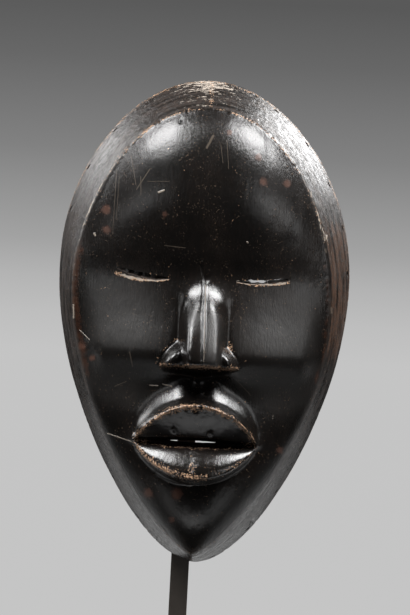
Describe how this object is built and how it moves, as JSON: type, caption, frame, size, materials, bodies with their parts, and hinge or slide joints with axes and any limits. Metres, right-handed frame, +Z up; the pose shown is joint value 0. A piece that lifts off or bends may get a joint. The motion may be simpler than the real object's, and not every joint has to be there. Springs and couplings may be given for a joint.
{
  "type": "carved wooden face mask on a display stand",
  "caption": "Oval carved wooden face mask, hollow behind, with narrow slit eyes, a long nose and full parted lips, held upright by a square rod on a rectangular foot.",
  "frame": {"origin": "middle of the foot's flat underside, which stands on the ground", "axes": "+Z up, the mask faces -Y, and +X is to the right of someone who looks at its face"},
  "size_m": [0.1451, 0.1264, 0.335],
  "materials": {
    "patinated_wood": "near-black glossy handling patina over brown hardwood, worn to tan along the edges",
    "dark_steel": "satin dark brown-black, as of blackened or painted steel"
  },
  "bodies": {
    "root": {"dan_mask": "patinated_wood", "stand_rod": "dark_steel", "stand_foot": "dark_steel"}
  },
  "joints": []
}
